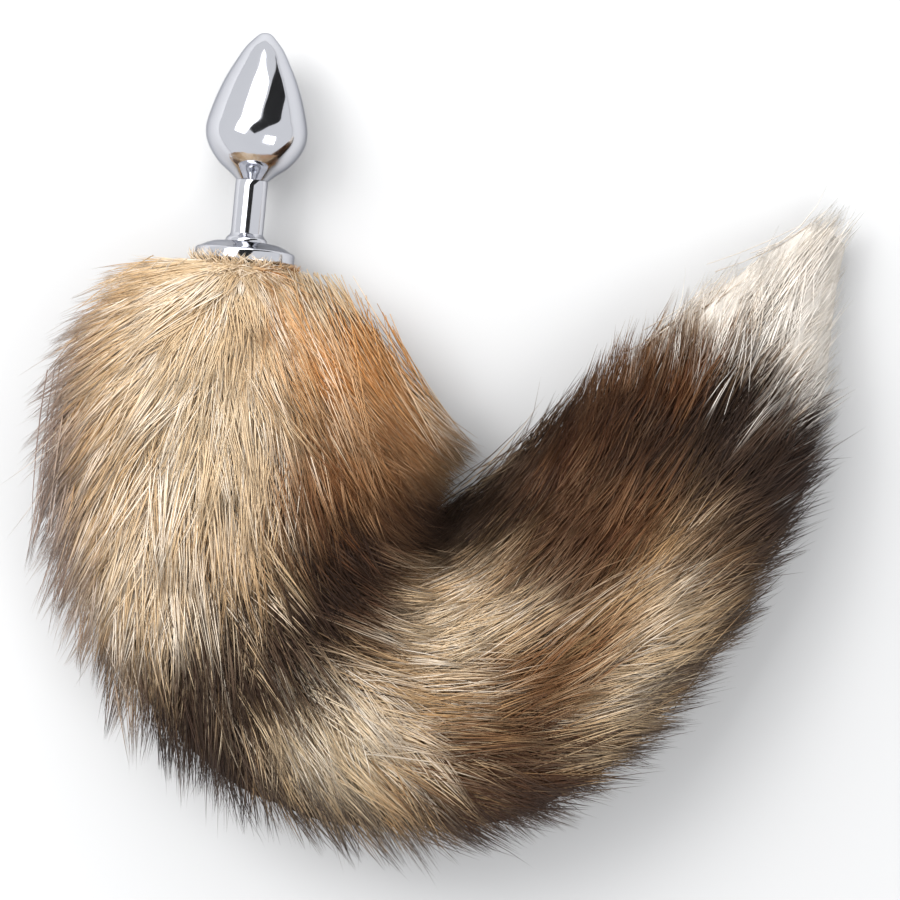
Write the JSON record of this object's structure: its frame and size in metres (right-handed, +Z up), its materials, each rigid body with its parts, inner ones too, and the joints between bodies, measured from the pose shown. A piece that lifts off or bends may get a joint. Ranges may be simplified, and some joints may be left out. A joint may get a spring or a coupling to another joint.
{
  "type": "tail butt plug",
  "caption": "Polished metal teardrop plug with a slim neck and round flange, and a long curled fox-coloured fur tail with a white tip, lying flat.",
  "frame": {"origin": "middle of the object's footprint, on the surface that it lies on", "axes": "+Y along the level plug from the tail to the bulb's tip; +Z up from the surface; +X to the side that the tail curls to"},
  "size_m": [0.2274, 0.226, 0.0603],
  "materials": {
    "polished_metal": "polished",
    "pin_metal": "satin",
    "fox_fur": "matte"
  },
  "bodies": {
    "root": {"plug": "polished_metal", "tail_post": "pin_metal", "tail_fur": "fox_fur"}
  },
  "joints": []
}
